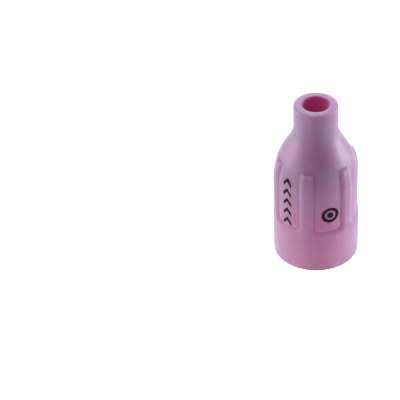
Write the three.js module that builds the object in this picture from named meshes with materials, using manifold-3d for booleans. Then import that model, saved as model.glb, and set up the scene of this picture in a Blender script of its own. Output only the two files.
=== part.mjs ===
// Gas nozzle of a TIG welding torch, cup size 5: one piece of pink alumina ceramic.
// A wide rear socket pushes onto the torch head. A cone leads the shielding gas to a straight neck,
// where it leaves around the tungsten. Six shallow panels around the body leave ribs for grip.
//
// Units are millimetres, +Z up. The origin is the middle of the rear rim, so the nozzle stands on
// the rim with its gas outlet up. A rib faces -Y.

import * as THREE from 'three';
import { mergeVertices } from 'three/addons/utils/BufferGeometryUtils.js';
import Module from 'manifold-3d';

const wasm = await Module();
wasm.setup();

// Outside
const LENGTH = 52;
const BODY_RADIUS = 12.9;
const NECK_RADIUS = 6.55;
const CONE_FOOT_Z = 32.6; // where the panels' floor and the cone would meet with no rounding
const CONE_TOP_Z = 42.85; // where the cone and the neck would meet with no rounding
const SHOULDER_ROUND = 19;
const THROAT_ROUND = 9;
const RIM_ROUND = 0.5; // outer edge of both rims

// Grip panels, sunk into the body between the ribs
const PANEL_COUNT = 6;
const PANEL_DEPTH = 0.55;
const PANEL_FOOT_Z = 14;
const PANEL_CORNER_ROUND = 2;
const RIB_TOP_Z = 34.6;
const RIB_WIDTH_ANGLE = THREE.MathUtils.degToRad(18);

// Gas passage
const SOCKET_RADIUS = 10.35;
const SOCKET_DEPTH = 28.5;
const CHAMBER_RADIUS = 8.4;
const ORIFICE_RADIUS = 4;
const CONE_WALL = 2.6; // measured square to the cone
const PASSAGE_ROUND = 4;
const LIP = 0.3; // 45 degree bevel at both mouths

// Mesh fineness
const AROUND = 60;
const CORNER_SEGMENTS = 5;
const CHORD_ERROR = 0.02; // how far a facet may stand off its arc

const PANEL_RADIUS = BODY_RADIUS - PANEL_DEPTH;
const CONE_ANGLE = Math.atan((PANEL_RADIUS - NECK_RADIUS) / (CONE_TOP_Z - CONE_FOOT_Z));
const OVERCUT = 1; // how far a cutter runs past the face that it opens

const ALUMINA = new THREE.MeshStandardMaterial({ color: 0xd9a8c6, roughness: 0.55, metalness: 0 });

// The points of an outline whose corners are rounded to tangent arcs. Each corner is [radius from
// the axis, height, rounding].
function roundedOutline(corners) {
  const points = [];
  corners.forEach(([r, z, round], i) => {
    const corner = new THREE.Vector2(r, z);
    if (!round) {
      points.push(corner);
      return;
    }
    const back = new THREE.Vector2(...corners[i - 1].slice(0, 2)).sub(corner).normalize();
    const ahead = new THREE.Vector2(...corners[i + 1].slice(0, 2)).sub(corner).normalize();
    points.push(...tangentArc(corner, back, ahead, round));
  });
  return points;
}

// An arc of a given radius that leaves one side of a corner and joins the other without a kink.
function tangentArc(corner, back, ahead, radius) {
  const opening = Math.acos(back.dot(ahead));
  const turn = Math.PI - opening;
  const middle = back.clone().add(ahead).normalize();
  const centre = corner.clone().addScaledVector(middle, radius / Math.sin(opening / 2));
  const start = corner.clone().addScaledVector(back, radius / Math.tan(opening / 2)).sub(centre);
  const sense = Math.sign(ahead.cross(back));
  const steps = Math.ceil(turn / (2 * Math.acos(1 - CHORD_ERROR / radius)));
  const origin = new THREE.Vector2();
  return Array.from({ length: steps + 1 }, (_, k) => (
    start.clone().rotateAround(origin, sense * turn * k / steps).add(centre)
  ));
}

// A closed geometry as a solid that can be joined and cut.
function toSolid(geometry) {
  geometry.deleteAttribute('normal');
  geometry.deleteAttribute('uv');
  const joined = mergeVertices(geometry);
  const corners = joined.index.array;
  const triangles = [];
  for (let i = 0; i < corners.length; i += 3) {
    const [a, b, c] = corners.slice(i, i + 3);
    if (a !== b && b !== c && c !== a) triangles.push(a, b, c);
  }
  const vertProperties = new Float32Array(joined.attributes.position.array);
  const triVerts = new Uint32Array(triangles);
  return new wasm.Manifold(new wasm.Mesh({ numProp: 3, vertProperties, triVerts }));
}

function toGeometry(solid) {
  const mesh = solid.getMesh();
  const geometry = new THREE.BufferGeometry();
  geometry.setAttribute('position', new THREE.BufferAttribute(mesh.vertProperties, 3));
  geometry.setIndex(new THREE.BufferAttribute(mesh.triVerts, 1));
  geometry.computeVertexNormals();
  return geometry;
}

// A solid turned about the Z axis, from an outline that starts and ends on that axis.
function turned(corners) {
  const geometry = new THREE.LatheGeometry(roundedOutline(corners), AROUND);
  return toSolid(geometry.rotateX(Math.PI / 2));
}

// The body, cone and neck as one bottle shape. The stand-off moves it out from the panels' floor.
function bottle(standOff) {
  const coneShift = standOff * Math.tan(CONE_ANGLE / 2);
  return turned([
    [0, 0],
    [PANEL_RADIUS + standOff, 0, RIM_ROUND],
    [PANEL_RADIUS + standOff, CONE_FOOT_Z + coneShift, SHOULDER_ROUND + standOff],
    [NECK_RADIUS + standOff, CONE_TOP_Z + coneShift, THROAT_ROUND - standOff],
    [NECK_RADIUS + standOff, LENGTH, RIM_ROUND],
    [0, LENGTH],
  ]);
}

// The space of one panel: straight sides, rounded lower corners, open towards the cone. It starts
// inside the panel's floor, because it cuts only the jacket that stands on the floor.
function panelSpace(angle) {
  const halfWidth = BODY_RADIUS * Math.tan(Math.PI / PANEL_COUNT - RIB_WIDTH_ANGLE / 2);
  const top = RIB_TOP_Z + OVERCUT;
  const cornerZ = PANEL_FOOT_Z + PANEL_CORNER_ROUND;
  const cornerX = halfWidth - PANEL_CORNER_ROUND;
  const shape = new THREE.Shape();
  shape.absarc(-cornerX, cornerZ, PANEL_CORNER_ROUND, Math.PI, 1.5 * Math.PI);
  shape.absarc(cornerX, cornerZ, PANEL_CORNER_ROUND, 1.5 * Math.PI, 2 * Math.PI);
  shape.lineTo(halfWidth, top);
  shape.lineTo(-halfWidth, top);
  const geometry = new THREE.ExtrudeGeometry(shape, {
    depth: BODY_RADIUS + OVERCUT - NECK_RADIUS,
    bevelEnabled: false,
    curveSegments: CORNER_SEGMENTS,
  });
  geometry.translate(0, 0, NECK_RADIUS);
  splay(geometry.attributes.position);
  return toSolid(geometry.rotateX(Math.PI / 2).rotateZ(angle));
}

// Widens a cutter in proportion to its distance from the axis, here its Z, so that its sides lie in
// planes through the axis and every rib keeps the same angle all the way up.
function splay(position) {
  for (let i = 0; i < position.count; i += 1) {
    position.setX(i, position.getX(i) * position.getZ(i) / BODY_RADIUS);
  }
}

// The jacket that stands on the panels' floor: the band at the rear and the ribs.
function bandAndRibs() {
  const above = new THREE.CylinderGeometry(2 * BODY_RADIUS, 2 * BODY_RADIUS, LENGTH, AROUND);
  above.rotateX(Math.PI / 2).translate(0, 0, RIB_TOP_Z + LENGTH / 2);
  let jacket = bottle(PANEL_DEPTH).subtract(toSolid(above));
  for (let i = 0; i < PANEL_COUNT; i += 1) {
    jacket = jacket.subtract(panelSpace((i + 0.5) * 2 * Math.PI / PANEL_COUNT));
  }
  return jacket;
}

// The hollow: socket, seat, gas chamber, cone parallel to the outside, and straight orifice.
function passage() {
  const wallAcross = CONE_WALL / Math.cos(CONE_ANGLE);
  const slope = Math.tan(CONE_ANGLE);
  const coneRadiusAtFoot = PANEL_RADIUS - wallAcross;
  const chamberTopZ = CONE_FOOT_Z + (coneRadiusAtFoot - CHAMBER_RADIUS) / slope;
  const orificeFootZ = CONE_FOOT_Z + (coneRadiusAtFoot - ORIFICE_RADIUS) / slope;
  return turned([
    [0, -OVERCUT],
    [SOCKET_RADIUS + LIP + OVERCUT, -OVERCUT],
    [SOCKET_RADIUS, LIP],
    [SOCKET_RADIUS, SOCKET_DEPTH],
    [CHAMBER_RADIUS, SOCKET_DEPTH],
    [CHAMBER_RADIUS, chamberTopZ, PASSAGE_ROUND],
    [ORIFICE_RADIUS, orificeFootZ, PASSAGE_ROUND],
    [ORIFICE_RADIUS, LENGTH - LIP],
    [ORIFICE_RADIUS + LIP + OVERCUT, LENGTH + OVERCUT],
    [0, LENGTH + OVERCUT],
  ]);
}

function nozzleBody() {
  const solid = bottle(0).add(bandAndRibs()).subtract(passage());
  const mesh = new THREE.Mesh(toGeometry(solid), ALUMINA);
  mesh.name = 'nozzle_body';
  return mesh;
}

const gasNozzle = new THREE.Group();
gasNozzle.name = 'gas_nozzle';
gasNozzle.add(nozzleBody());

export default gasNozzle;
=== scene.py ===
"""Looks of a ceramic TIG gas nozzle: fired alumina with soft-edged panels and printed marks, on a table.

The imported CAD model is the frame. Sizes are in millimetres unless a name or comment says otherwise, and MM
turns them into metres. Those of the nozzle follow the CAD source, with softer edges. Angles around the nozzle
are measured from -Y towards +X, and a rib faces -Y.
"""

import math

import bmesh
import bpy
import numpy as np
from mathutils import Matrix, Vector


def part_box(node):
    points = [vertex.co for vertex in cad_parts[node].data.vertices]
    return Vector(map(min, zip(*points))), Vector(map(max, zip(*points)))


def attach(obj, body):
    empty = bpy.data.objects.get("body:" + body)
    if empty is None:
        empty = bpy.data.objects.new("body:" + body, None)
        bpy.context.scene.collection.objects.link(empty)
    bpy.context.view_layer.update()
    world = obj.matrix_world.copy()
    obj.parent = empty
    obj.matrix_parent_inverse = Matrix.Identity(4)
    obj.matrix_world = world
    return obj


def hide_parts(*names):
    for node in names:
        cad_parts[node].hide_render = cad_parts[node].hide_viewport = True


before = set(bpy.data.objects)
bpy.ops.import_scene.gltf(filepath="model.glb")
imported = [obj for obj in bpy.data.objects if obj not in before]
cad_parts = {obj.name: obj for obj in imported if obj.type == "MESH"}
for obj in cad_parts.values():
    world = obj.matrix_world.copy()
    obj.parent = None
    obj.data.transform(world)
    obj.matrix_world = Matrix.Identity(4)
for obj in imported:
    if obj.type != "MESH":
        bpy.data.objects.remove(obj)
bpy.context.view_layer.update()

MM = 0.001
NODE = "nozzle_body"
node_low, node_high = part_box(NODE)

# Outside
LENGTH = (node_high.z - node_low.z) / MM
BODY_RADIUS = (node_high.x - node_low.x) / 2 / MM
NECK_RADIUS = 6.55
CONE_FOOT_Z = 32.6
CONE_TOP_Z = 42.85
SHOULDER_ROUND = 19.0
THROAT_ROUND = 9.0
REAR_RIM_ROUND = 0.5
FRONT_RIM_ROUND = 0.6

# Grip panels
PANEL_COUNT = 6
PANEL_DEPTH = 0.55
PANEL_FOOT_Z = 14.0
PANEL_CORNER_ROUND = 2.0
RIB_TOP_Z = 34.6
RIB_WIDTH = math.radians(18)
FLOOR_INSET = 0.45  # how far inside the CAD panel's outline its floor ends and the wall starts
WALL_WIDTH = 1.5  # from the floor out to where the rib or band is at full height
WALL_POWER = 1.3  # how much steeper than its average a wall is at its foot, while its top is level
LEDGE_INSET = 0.2  # how far past the CAD rib's front end its slope meets the floor
LEDGE_WIDTH = 0.9  # length of that slope along the nozzle
CREASE_SHADE_REACH = 0.45  # how far the painted shade along the foot of a wall reaches to either side

# Gas passage
SOCKET_RADIUS = 10.35
SOCKET_DEPTH = 28.5
CHAMBER_RADIUS = 8.4
ORIFICE_RADIUS = 4.0
CONE_WALL = 2.6  # measured square to the cone
PASSAGE_ROUND = 4.0
STOP_ROUND = 0.4
LIP_ROUND = 0.3

PANEL_RADIUS = BODY_RADIUS - PANEL_DEPTH
CONE_ANGLE = math.atan((PANEL_RADIUS - NECK_RADIUS) / (CONE_TOP_Z - CONE_FOOT_Z))
SHOULDER_START_Z = CONE_FOOT_Z - SHOULDER_ROUND * math.tan(CONE_ANGLE / 2)

# Printed marks
INK_RISE = 0.035  # of the ink's top over the panel's floor
INK_THICKNESS = 0.06
WELD_DISTANCE = 0.001
CHEVRON_COUNT = 5
CHEVRON_FIRST_TIP_Z = 18.0
CHEVRON_PITCH = 3.5
CHEVRON_WIDTH = 3.0
CHEVRON_STROKE = 0.8
CHEVRON_SWEEP = math.radians(50)
RING_OUTER = 2.65
RING_INNER = 1.7
RING_ACROSS = 0.65  # from the middle of its panel
RING_Z = 20.5
DOT_RADIUS = 1.0

# Fineness of the meshes, in steps along each stretch
RIM_STEPS = 6
ROUNDING_STEPS = 8
LONGEST_STEP = 2.0  # mm
BAND_STEPS = 6
FOOT_WALL_STEPS = 16
PANEL_CORNER_STEPS = 11
PANEL_STEPS = 9
SHOULDER_STEPS = 11
LEDGE_STEPS = 14
SHOULDER_END_STEPS = 5
HALF_FLOOR_STEPS = 4
SIDE_WALL_STEPS = 17
HALF_RIB_STEPS = 3
CHEVRON_STEPS = 20
STROKE_STEPS = 3
RING_STEPS = 64
RING_STROKE_STEPS = 4

# Names of the masks of painted shade and painted highlight on the alumina, which are attributes of the
# nozzle's points
CREASE_SHADE = "crease_shade"
BORE_SHADE = "bore_shade"
RIM_HIGHLIGHT = "rim"

# Alumina. Noise scales are cells per metre, and a tuple of two numbers is a range.
ALUMINA_PALE = (0.345, 0.205, 0.385)
ALUMINA_DEEP = (0.290, 0.160, 0.318)
# Painted shade: a darker tint along the foot of each wall and at each rib's end.
CREASE_SHADE_TINT = (0.26, 0.125, 0.27)
# Painted shade: a deep magenta for the dim inside of the orifice.
BORE_SHADE_TINT = (0.37, 0.048, 0.29)
# Painted highlight: a paler lavender on the front rim and each rib's end.
RIM_HIGHLIGHT_TINT = (0.31, 0.25, 0.42)
CLOUD_SCALE = 220
CLOUD_SHARE = 0.7  # of the way from pale to deep that clouds can take the colour
STREAK_SCALE = 170
STREAK_SHARE = 0.3
STREAK_FLATNESS = 9  # how many times longer around the nozzle than along it a streak is
COLOUR_DETAIL = 3
FINE_DETAIL = 2
ALUMINA_ROUGHNESS = (0.45, 0.55)
ROUGHNESS_SCALE = 1500
ALUMINA_IOR = 1.6
SHEEN = 0.6
SHEEN_ROUGHNESS = 0.4
SCATTER_METRES = 0.009
SCATTER_BY_COLOUR = (1.0, 0.3, 0.5)  # red light travels furthest
GRAIN_SCALE = 5200
GRAIN_HEIGHT = 0.06
GRAIN_STRENGTH = 0.12
NOISE_RANGE = (0.3, 0.7)  # where most of a noise texture's values lie

# Ink
INK_DARK = (0.012, 0.002, 0.010)
INK_THIN = (0.030, 0.006, 0.022)
INK_SCALE = 1600
INK_ROUGHNESS = 0.8
INK_SPECULAR = 0.15

# Camera
CAMERA_AZIMUTH = math.radians(13)
CAMERA_ELEVATION = math.radians(36.67)
CAMERA_DISTANCE = 476.6
CAMERA_LENS = 143.7
SENSOR = 36.0
CLIP_METRES = (0.01, 20)
NOZZLE_RIGHT = 0.2896  # where the nozzle's middle lands, in frame widths right of the frame's middle
NOZZLE_UP = 0.0585

# Table
TABLE_REACH_METRES = 0.8
TABLE_GREY = (0.8, 0.8, 0.8)
TABLE_ROUGHNESS = 0.9
TABLE_GLOW_NEAR = (0.55, 0.55, 0.55)
TABLE_GLOW_FAR = (0.25, 0.25, 0.25)
TABLE_GLOW_FADE_METRES = (0.02, 0.045)
TABLE_GLOW_SEEN = 3.5  # how much brighter the table's own glow is to the camera, which overexposes it

# Lights, in watts
WHITE = (1, 1, 1)
ROOM_LIGHT = 0.05  # strength of the world as a source of light
BOX_DISTANCE_METRES = 0.6
SOFT_BOXES = (  # name, azimuth and elevation in degrees, width and height in metres, power
    ("right_low", 112, 8, 0.34, 0.18, 3.5),
    ("left_low", 279, 8, 0.38, 0.18, 2.0),
    ("back", 194, 28, 0.34, 0.25, 1.4),
    ("left_high", 298, 28, 0.36, 0.25, 1.25),
    ("right_high", 85, 45, 0.3, 0.3, 0.25),
    ("top", 13, 78, 0.25, 0.25, 0.6),
)
MOUTH_GLOW_POWER = 0.0038
MOUTH_GLOW_Z = 0.3
SOCKET_GLOW_POWER = 0.0025


# ---------------------------------------------------------------- outlines

def stretches(start, *ends):
    """Values from a start through several stretches, each (its end, its number of even steps)."""
    values = [start]
    for end, steps in ends:
        values += list(np.linspace(values[-1], end, steps + 1)[1:])
    return np.array(values)


def arc(centre_r, centre_z, radius, start, end, steps):
    """Points of an arc in the (r, z) plane, from one angle to another, 0 pointing away from the axis."""
    angles = np.linspace(start, end, steps + 1)
    return [(centre_r + radius * math.cos(a), centre_z + radius * math.sin(a)) for a in angles]


def rounded(corners):
    """An outline whose corners, each (r, z, rounding), are replaced by tangent arcs."""
    points = []
    for i, (r, z, rounding) in enumerate(corners):
        corner = Vector((r, z))
        if not rounding:
            points.append((r, z))
            continue
        back = (Vector(corners[i - 1][:2]) - corner).normalized()
        ahead = (Vector(corners[i + 1][:2]) - corner).normalized()
        half = back.angle(ahead) / 2
        centre = corner + (back + ahead).normalized() * rounding / math.sin(half)
        first = corner + back * rounding / math.tan(half) - centre
        last = corner + ahead * rounding / math.tan(half) - centre
        turn = first.angle_signed(last)
        for k in range(ROUNDING_STEPS + 1):
            spoke = Matrix.Rotation(-turn * k / ROUNDING_STEPS, 2) @ first
            points.append(tuple(centre + spoke))
    return points


def filled(points):
    """The same outline with extra points, so that no step is longer than the longest."""
    result = [points[0]]
    for start, end in zip(points, points[1:]):
        steps = max(1, math.ceil(math.dist(start, end) / LONGEST_STEP))
        result += [tuple(row) for row in np.linspace(start, end, steps + 1)[1:]]
    return result


def body_rows():
    """Rear rim, band and shoulder at full radius, as (r, z, sink direction), and how far the shoulder turns.

    Panels sink from these rows. The rim's rows have no sink direction.
    """
    rim = arc(BODY_RADIUS - REAR_RIM_ROUND, REAR_RIM_ROUND, REAR_RIM_ROUND, -math.pi / 2, 0, RIM_STEPS)
    rows = [(r, z, None) for r, z in rim]
    wall_foot = PANEL_FOOT_Z + FLOOR_INSET
    heights = stretches(
        REAR_RIM_ROUND,
        (wall_foot - WALL_WIDTH, BAND_STEPS),
        (wall_foot, FOOT_WALL_STEPS),
        (PANEL_FOOT_Z + PANEL_CORNER_ROUND, PANEL_CORNER_STEPS),
        (SHOULDER_START_Z, PANEL_STEPS),
    )[1:]
    rows += [(BODY_RADIUS, z, (1.0, 0.0)) for z in heights]
    radius = SHOULDER_ROUND + PANEL_DEPTH
    ledge_foot = RIB_TOP_Z + LEDGE_INSET
    ledge = [math.asin((z - SHOULDER_START_Z) / radius) for z in (ledge_foot - LEDGE_WIDTH, ledge_foot)]
    turns = stretches(0, (ledge[0], SHOULDER_STEPS), (ledge[1], LEDGE_STEPS))[1:]
    for a in turns:
        spoke = (math.cos(a), math.sin(a))
        r = BODY_RADIUS - radius + radius * spoke[0]
        rows.append((r, SHOULDER_START_Z + radius * spoke[1], spoke))
    return rows, turns[-1]


def front_rows(shoulder_turn):
    """From where the ribs have ended, over cone, neck and front rim, and back through the gas passage."""
    shoulder = arc(PANEL_RADIUS - SHOULDER_ROUND, SHOULDER_START_Z, SHOULDER_ROUND,
                   shoulder_turn, CONE_ANGLE, SHOULDER_END_STEPS)[1:]
    slope = math.tan(CONE_ANGLE)
    inside_cone_foot = PANEL_RADIUS - CONE_WALL / math.cos(CONE_ANGLE)
    chamber_top = CONE_FOOT_Z + (inside_cone_foot - CHAMBER_RADIUS) / slope
    orifice_foot = CONE_FOOT_Z + (inside_cone_foot - ORIFICE_RADIUS) / slope
    rest = rounded([
        (*shoulder[-1], 0),
        (NECK_RADIUS, CONE_TOP_Z, THROAT_ROUND),
        (NECK_RADIUS, LENGTH, FRONT_RIM_ROUND),
        (ORIFICE_RADIUS, LENGTH, LIP_ROUND),
        (ORIFICE_RADIUS, orifice_foot, PASSAGE_ROUND),
        (CHAMBER_RADIUS, chamber_top, PASSAGE_ROUND),
        (CHAMBER_RADIUS, SOCKET_DEPTH, STOP_ROUND),
        (SOCKET_RADIUS, SOCKET_DEPTH, STOP_ROUND),
        (SOCKET_RADIUS, 0, LIP_ROUND),
        (BODY_RADIUS - REAR_RIM_ROUND, 0, 0),
    ])
    return filled(shoulder + rest[1:-1])


def around():
    """Angles around the nozzle, closer together at the panels' side walls and rounded corners."""
    half = math.pi / PANEL_COUNT
    side = half - RIB_WIDTH / 2
    foot = side - FLOOR_INSET / BODY_RADIUS
    half_sector = stretches(
        0,
        (side - PANEL_CORNER_ROUND / BODY_RADIUS, HALF_FLOOR_STEPS),
        (foot, PANEL_CORNER_STEPS),
        (foot + WALL_WIDTH / BODY_RADIUS, SIDE_WALL_STEPS),
        (half, HALF_RIB_STEPS),
    )
    sector = np.concatenate([-half_sector[:0:-1], half_sector[:-1]])
    centres = (np.arange(PANEL_COUNT) + 0.5) * 2 * half
    return (centres[:, None] + sector[None, :]).ravel()


def wall_height(beyond_foot, width):
    """Height of a wall, from 0 at its foot to 1 at its rounded top, at a distance beyond the foot."""
    left = 1 - np.clip(beyond_foot / width, 0, 1)
    return 1 - left**WALL_POWER


def sunk(angles, height):
    """How far the points of a row have sunk, and how far beyond the foot of the panel's wall they are.

    The first is 0 on ribs and band and 1 on the panels' floor.
    """
    half = math.pi / PANEL_COUNT
    side = half - RIB_WIDTH / 2
    from_centre = np.abs((angles % (2 * half)) - half)
    across = (from_centre - side) * BODY_RADIUS + PANEL_CORNER_ROUND
    below = np.full_like(across, PANEL_FOOT_Z + PANEL_CORNER_ROUND - height)
    at_corner = np.hypot(np.maximum(across, 0), np.maximum(below, 0))
    straight = np.maximum(across, below)
    outside = np.where((across > 0) & (below > 0), at_corner, straight) - PANEL_CORNER_ROUND
    rises = wall_height(outside + FLOOR_INSET, WALL_WIDTH)
    ends = wall_height(RIB_TOP_Z + LEDGE_INSET - height, LEDGE_WIDTH)
    return 1 - rises * ends, outside + FLOOR_INSET


def near(distance, reach):
    """1 at no distance, falling evenly to 0 at the reach."""
    return np.clip(1 - np.abs(distance) / reach, 0, 1)


# ---------------------------------------------------------------- the nozzle

def mesh_object(name, vertices, faces, smooth=True):
    mesh = bpy.data.meshes.new(name)
    mesh.from_pydata([tuple(v) for v in vertices], [], faces)
    mesh.validate()
    mesh.polygons.foreach_set("use_smooth", [smooth] * len(mesh.polygons))
    obj = bpy.data.objects.new(name, mesh)
    bpy.context.scene.collection.objects.link(obj)
    return obj


def on_nozzle(angles, radius, height):
    """Points in metres from angles around the nozzle, distances from its axis and heights."""
    return np.stack([radius * np.sin(angles), -radius * np.cos(angles), height], -1) * MM


def body_ring(angles, r, z, spoke):
    """Radius, height, painted shade along creases, painted shade in the orifice and painted highlight of the
    points of one body row. A rib's end gets the painted highlight of a rim.
    """
    level = np.zeros_like(angles)
    if spoke is None:
        return level + r, level + z, level, level, level
    sink, beyond_foot = sunk(angles, z)
    depth = PANEL_DEPTH * sink
    on_rib = beyond_foot > WALL_WIDTH / 2
    # Painted shade along the foot of each wall and at each rib's end
    end_crease_shade = on_rib * near(RIB_TOP_Z + LEDGE_INSET - z, CREASE_SHADE_REACH)
    crease_shade = np.maximum(near(beyond_foot, CREASE_SHADE_REACH), end_crease_shade)
    # Painted highlight along each rib's end, where it slopes down to the floor
    rib_end_highlight = (1 - sink) * near(RIB_TOP_Z - LEDGE_INSET - z, LEDGE_WIDTH)
    return r - depth * spoke[0], z - depth * spoke[1], crease_shade, level, rib_end_highlight


def front_ring(angles, r, z):
    """The same for one front row."""
    level = np.zeros_like(angles)
    # Painted shade over the inside of the orifice
    bore_shade = level + (r < ORIFICE_RADIUS + LIP_ROUND / 2)
    # Painted highlight over the front rim
    rim = level + (z > LENGTH - LIP_ROUND / 2)
    return level + r, level + z, level, bore_shade, rim


def closed_grid(rows, columns):
    """Faces of a grid of points that closes on itself both ways."""
    faces = []
    for i in range(rows):
        below, above = i * columns, (i + 1) % rows * columns
        for j in range(columns):
            k = (j + 1) % columns
            faces.append((below + j, below + k, above + k, above + j))
    return faces


def nozzle():
    """The whole nozzle as one closed skin of rings, with its painted shade and painted highlight as
    attributes of the points.
    """
    angles = around()
    rows, shoulder_turn = body_rows()
    rings = [body_ring(angles, *row) for row in rows]
    rings += [front_ring(angles, *row) for row in front_rows(shoulder_turn)]
    radius, height, *tints = (np.array(values) for values in zip(*rings))
    points = on_nozzle(angles, radius, height)
    obj = mesh_object(NODE + "_fine", points.reshape(-1, 3), closed_grid(*radius.shape))
    for name, values in zip((CREASE_SHADE, BORE_SHADE, RIM_HIGHLIGHT), tints):
        tint = obj.data.attributes.new(name, "FLOAT", "POINT")
        tint.data.foreach_set("value", values.ravel())
    return obj


# ---------------------------------------------------------------- printed marks

def floor_radius(height):
    """Radius of the panels' floor at a height on the body or shoulder."""
    above = np.maximum(height - SHOULDER_START_Z, 0)
    return PANEL_RADIUS - SHOULDER_ROUND + np.sqrt(SHOULDER_ROUND**2 - above**2)


def ink(name, patches, panel):
    """A thin closed skin of ink on a panel's floor, from grids of (distance across, height)."""
    vertices, faces = [], []
    for grid in patches:
        rows, columns = grid.shape[:2]
        first = len(vertices)
        angles = panel + grid[..., 0] / PANEL_RADIUS
        height = grid[..., 1]
        points = on_nozzle(angles, floor_radius(height) + INK_RISE, height)
        vertices += list(points.reshape(-1, 3))
        for i in range(rows - 1):
            for j in range(columns - 1):
                a = first + i * columns + j
                faces.append((a, a + 1, a + columns + 1, a + columns))
    obj = mesh_object(name, vertices, faces)
    weld_seams(obj.data)
    thickness = obj.modifiers.new("thickness", "SOLIDIFY")
    thickness.thickness = INK_THICKNESS * MM
    thickness.offset = -1
    return obj


def weld_seams(mesh):
    """Joins points that lie on each other and turns all faces the same way."""
    weld = bmesh.new()
    weld.from_mesh(mesh)
    bmesh.ops.remove_doubles(weld, verts=weld.verts, dist=WELD_DISTANCE * MM)
    bmesh.ops.recalc_face_normals(weld, faces=weld.faces)
    weld.to_mesh(mesh)
    weld.free()


def chevrons():
    """A row of chevrons along a panel, one for each step of the cup size, pointing where the gas leaves."""
    across = np.linspace(-CHEVRON_WIDTH / 2, CHEVRON_WIDTH / 2, CHEVRON_STEPS + 1)
    levels = np.linspace(-CHEVRON_STROKE / math.cos(CHEVRON_SWEEP), 0, STROKE_STEPS + 1)
    patches = []
    for tip in CHEVRON_FIRST_TIP_Z + CHEVRON_PITCH * np.arange(CHEVRON_COUNT):
        heights = tip - math.tan(CHEVRON_SWEEP) * np.abs(across)
        patches.append(np.stack([np.stack([across, heights + level], -1) for level in levels]))
    return ink("flow_chevrons", patches, -math.pi / PANEL_COUNT)


def ring_mark():
    """A ring with a dot in it, for the gas outlet around the electrode."""
    turn = np.linspace(0, 2 * math.pi, RING_STEPS + 1)
    patches = []
    for inner, outer in ((RING_INNER, RING_OUTER), (0, DOT_RADIUS)):
        radii = np.linspace(inner, outer, RING_STROKE_STEPS + 1)[:, None]
        patches.append(np.stack([RING_ACROSS + radii * np.cos(turn), RING_Z + radii * np.sin(turn)], -1))
    return ink("outlet_ring", patches, math.pi / PANEL_COUNT)


# ---------------------------------------------------------------- materials

def node_material(name):
    material = bpy.data.materials.new(name)
    material.use_nodes = True
    tree = material.node_tree
    return material, tree, tree.nodes["Principled BSDF"]


def noise(tree, coordinates, scale, detail):
    node = tree.nodes.new("ShaderNodeTexNoise")
    node.inputs["Scale"].default_value = scale
    node.inputs["Detail"].default_value = detail
    tree.links.new(coordinates, node.inputs["Vector"])
    return node.outputs["Fac"]


def spread(tree, factor, low, high):
    """Spreads a noise over a range of values."""
    node = tree.nodes.new("ShaderNodeMapRange")
    node.inputs["From Min"].default_value, node.inputs["From Max"].default_value = NOISE_RANGE
    node.inputs["To Min"].default_value = low
    node.inputs["To Max"].default_value = high
    tree.links.new(factor, node.inputs["Value"])
    return node.outputs["Result"]


def mix_colour(tree, factor, first, second):
    """A mix of two colours, each a constant or another node's output."""
    node = tree.nodes.new("ShaderNodeMix")
    node.data_type = "RGBA"
    for socket, value in ((node.inputs["A"], first), (node.inputs["B"], second)):
        if isinstance(value, tuple):
            socket.default_value = (*value, 1)
        else:
            tree.links.new(value, socket)
    tree.links.new(factor, node.inputs["Factor"])
    return node.outputs["Result"]


def attribute(tree, name):
    node = tree.nodes.new("ShaderNodeAttribute")
    node.attribute_name = name
    return node.outputs["Fac"]


def alumina_colour(tree, coordinates):
    """Clouds and faint rings of a deeper pink, then painted shade along creases, painted highlight on rims
    and painted shade in the orifice.
    """
    flatten = tree.nodes.new("ShaderNodeVectorMath")
    flatten.operation = "MULTIPLY"
    flatten.inputs[1].default_value = (1, 1, STREAK_FLATNESS)
    tree.links.new(coordinates, flatten.inputs[0])
    clouds = noise(tree, coordinates, CLOUD_SCALE, COLOUR_DETAIL)
    streaks = noise(tree, flatten.outputs["Vector"], STREAK_SCALE, COLOUR_DETAIL)
    uneven = tree.nodes.new("ShaderNodeMath")
    tree.links.new(spread(tree, clouds, 0, CLOUD_SHARE), uneven.inputs[0])
    tree.links.new(spread(tree, streaks, 0, STREAK_SHARE), uneven.inputs[1])
    colour = mix_colour(tree, uneven.outputs["Value"], ALUMINA_PALE, ALUMINA_DEEP)
    # Painted shade and painted highlight laid over the alumina's own colour
    for name, tint in ((CREASE_SHADE, CREASE_SHADE_TINT), (RIM_HIGHLIGHT, RIM_HIGHLIGHT_TINT), (BORE_SHADE, BORE_SHADE_TINT)):
        colour = mix_colour(tree, attribute(tree, name), colour, tint)
    return colour


def alumina():
    """Fired pink alumina: translucent and matte, with a fine grain."""
    material, tree, shader = node_material("pink_alumina")
    coordinates = tree.nodes.new("ShaderNodeTexCoord").outputs["Object"]
    tree.links.new(alumina_colour(tree, coordinates), shader.inputs["Base Color"])
    uneven = noise(tree, coordinates, ROUGHNESS_SCALE, FINE_DETAIL)
    tree.links.new(spread(tree, uneven, *ALUMINA_ROUGHNESS), shader.inputs["Roughness"])
    shader.inputs["IOR"].default_value = ALUMINA_IOR
    shader.inputs["Sheen Weight"].default_value = SHEEN
    shader.inputs["Sheen Roughness"].default_value = SHEEN_ROUGHNESS
    shader.inputs["Subsurface Weight"].default_value = 1
    shader.inputs["Subsurface Radius"].default_value = SCATTER_BY_COLOUR
    shader.inputs["Subsurface Scale"].default_value = SCATTER_METRES
    bump = tree.nodes.new("ShaderNodeBump")
    bump.inputs["Strength"].default_value = GRAIN_STRENGTH
    bump.inputs["Distance"].default_value = GRAIN_HEIGHT * MM
    tree.links.new(noise(tree, coordinates, GRAIN_SCALE, FINE_DETAIL), bump.inputs["Height"])
    tree.links.new(bump.outputs["Normal"], shader.inputs["Normal"])
    return material


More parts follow.
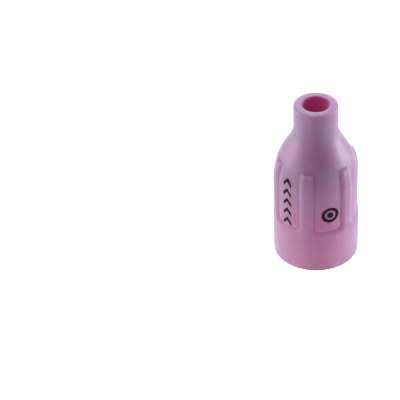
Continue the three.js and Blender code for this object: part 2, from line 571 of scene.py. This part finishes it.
def print_ink():
    """Dark screen-printing ink, a little uneven where it went on thin."""
    material, tree, shader = node_material("print_ink")
    coordinates = tree.nodes.new("ShaderNodeTexCoord").outputs["Object"]
    patchy = spread(tree, noise(tree, coordinates, INK_SCALE, COLOUR_DETAIL), 0, 1)
    tree.links.new(mix_colour(tree, patchy, INK_DARK, INK_THIN), shader.inputs["Base Color"])
    shader.inputs["Roughness"].default_value = INK_ROUGHNESS
    shader.inputs["Specular IOR Level"].default_value = INK_SPECULAR
    return material


# ---------------------------------------------------------------- camera

def direction(azimuth, elevation):
    """A unit vector away from the nozzle."""
    across = math.cos(elevation)
    return Vector((math.sin(azimuth) * across, -math.cos(azimuth) * across, math.sin(elevation)))


def camera():
    """The camera at the viewing angle, turned so that the nozzle lands right of and above the middle."""
    data = bpy.data.cameras.new("camera")
    data.lens = CAMERA_LENS
    data.sensor_width = SENSOR
    data.clip_start, data.clip_end = CLIP_METRES
    obj = bpy.data.objects.new("camera", data)
    bpy.context.scene.collection.objects.link(obj)
    bpy.context.scene.camera = obj
    back = direction(CAMERA_AZIMUTH, CAMERA_ELEVATION)
    eye = Vector((0, 0, LENGTH / 2 * MM)) + back * CAMERA_DISTANCE * MM
    obj.matrix_world = Matrix.Translation(eye) @ camera_turn(back).to_4x4()


def camera_turn(back):
    """Faces the nozzle, turns it off the frame's middle, and spins about it until its axis is upright."""
    facing = (-back).to_track_quat("-Z", "Y").to_matrix()
    frame_width = SENSOR / CAMERA_LENS
    wanted = Vector((NOZZLE_RIGHT * frame_width, NOZZLE_UP * frame_width, -1)).normalized()
    turn = Vector((0, 0, -1)).rotation_difference(wanted).to_matrix()
    turned = facing @ turn.inverted()
    upright = turned.inverted() @ Vector((0, 0, 1))
    depth_slope = upright.z / wanted.z
    lean = math.atan2(upright.x - depth_slope * wanted.x, upright.y - depth_slope * wanted.y)
    return turned @ Matrix.Rotation(lean, 3, wanted)


# ---------------------------------------------------------------- table and light

def seen_or_lighting(tree, seen, lighting):
    """One strength where the camera sees a surface directly, another where that surface lights the nozzle."""
    node = tree.nodes.new("ShaderNodeMapRange")
    node.inputs["To Min"].default_value = lighting
    node.inputs["To Max"].default_value = seen
    tree.links.new(tree.nodes.new("ShaderNodeLightPath").outputs["Is Camera Ray"], node.inputs["Value"])
    return node.outputs["Result"]


def table_top():
    """White, and glowing a little more under and around the nozzle than further out."""
    material, tree, shader = node_material("floor")
    shader.inputs["Base Color"].default_value = (*TABLE_GREY, 1)
    shader.inputs["Roughness"].default_value = TABLE_ROUGHNESS
    length = tree.nodes.new("ShaderNodeVectorMath")
    length.operation = "LENGTH"
    tree.links.new(tree.nodes.new("ShaderNodeTexCoord").outputs["Object"], length.inputs[0])
    fade = tree.nodes.new("ShaderNodeMapRange")
    fade.interpolation_type = "SMOOTHSTEP"
    fade.inputs["From Min"].default_value, fade.inputs["From Max"].default_value = TABLE_GLOW_FADE_METRES
    tree.links.new(length.outputs["Value"], fade.inputs["Value"])
    glow_colour = mix_colour(tree, fade.outputs["Result"], TABLE_GLOW_NEAR, TABLE_GLOW_FAR)
    tree.links.new(glow_colour, shader.inputs["Emission Color"])
    tree.links.new(seen_or_lighting(tree, TABLE_GLOW_SEEN, 1), shader.inputs["Emission Strength"])
    return material


def stage():
    """A plain white table that glows, and no film-like curve over the colours."""
    sides = ((-1, -1), (1, -1), (1, 1), (-1, 1))
    corners = [(x * TABLE_REACH_METRES, y * TABLE_REACH_METRES, 0) for x, y in sides]
    floor = mesh_object("floor", corners, [(0, 1, 2, 3)], smooth=False)
    floor.data.materials.append(table_top())
    bpy.context.scene.view_settings.view_transform = "Standard"


def surroundings():
    """White behind the table's far edge, but a dim room as a source of light."""
    world = bpy.data.worlds.new("world")
    world.use_nodes = True
    tree = world.node_tree
    background = tree.nodes["Background"]
    background.inputs["Color"].default_value = (*WHITE, 1)
    tree.links.new(seen_or_lighting(tree, 1, ROOM_LIGHT), background.inputs["Strength"])
    bpy.context.scene.world = world


def hidden_light(name, kind, power, place, towards):
    """A light that the camera can't see."""
    data = bpy.data.lights.new(name, kind)
    data.energy = power
    obj = bpy.data.objects.new(name, data)
    bpy.context.scene.collection.objects.link(obj)
    obj.location = place
    obj.rotation_mode = "QUATERNION"
    obj.rotation_quaternion = towards.to_track_quat("-Z", "Y")
    obj.visible_camera = False
    return data


def soft_box(name, azimuth, elevation, width, height, power):
    """A rectangle of light that faces the middle of the nozzle."""
    away = direction(math.radians(azimuth), math.radians(elevation))
    place = Vector((0, 0, LENGTH / 2 * MM)) + away * BOX_DISTANCE_METRES
    data = hidden_light(name, "AREA", power, place, -away)
    data.shape = "RECTANGLE"
    data.size = width
    data.size_y = height


def lights():
    """Soft boxes around the sides and back, none at the camera's side, and the table's glow in the socket."""
    for box in SOFT_BOXES:
        soft_box(*box)
    up = Vector((0, 0, 1))
    mouth = hidden_light("mouth_glow", "AREA", MOUTH_GLOW_POWER, up * MOUTH_GLOW_Z * MM, up)
    mouth.shape = "DISK"
    mouth.size = 2 * (SOCKET_RADIUS - MOUTH_GLOW_Z) * MM
    scattered = hidden_light("socket_glow", "POINT", SOCKET_GLOW_POWER, up * SOCKET_DEPTH / 2 * MM, up)
    scattered.shadow_soft_size = SOCKET_RADIUS / 2 * MM


# ---------------------------------------------------------------- the scene

camera()
stage()
surroundings()
lights()

body = nozzle()
body.data.materials.append(alumina())
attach(body, "root")
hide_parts(NODE)

ink_finish = print_ink()
for mark in (chevrons(), ring_mark()):
    mark.data.materials.append(ink_finish)
    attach(mark, "root")
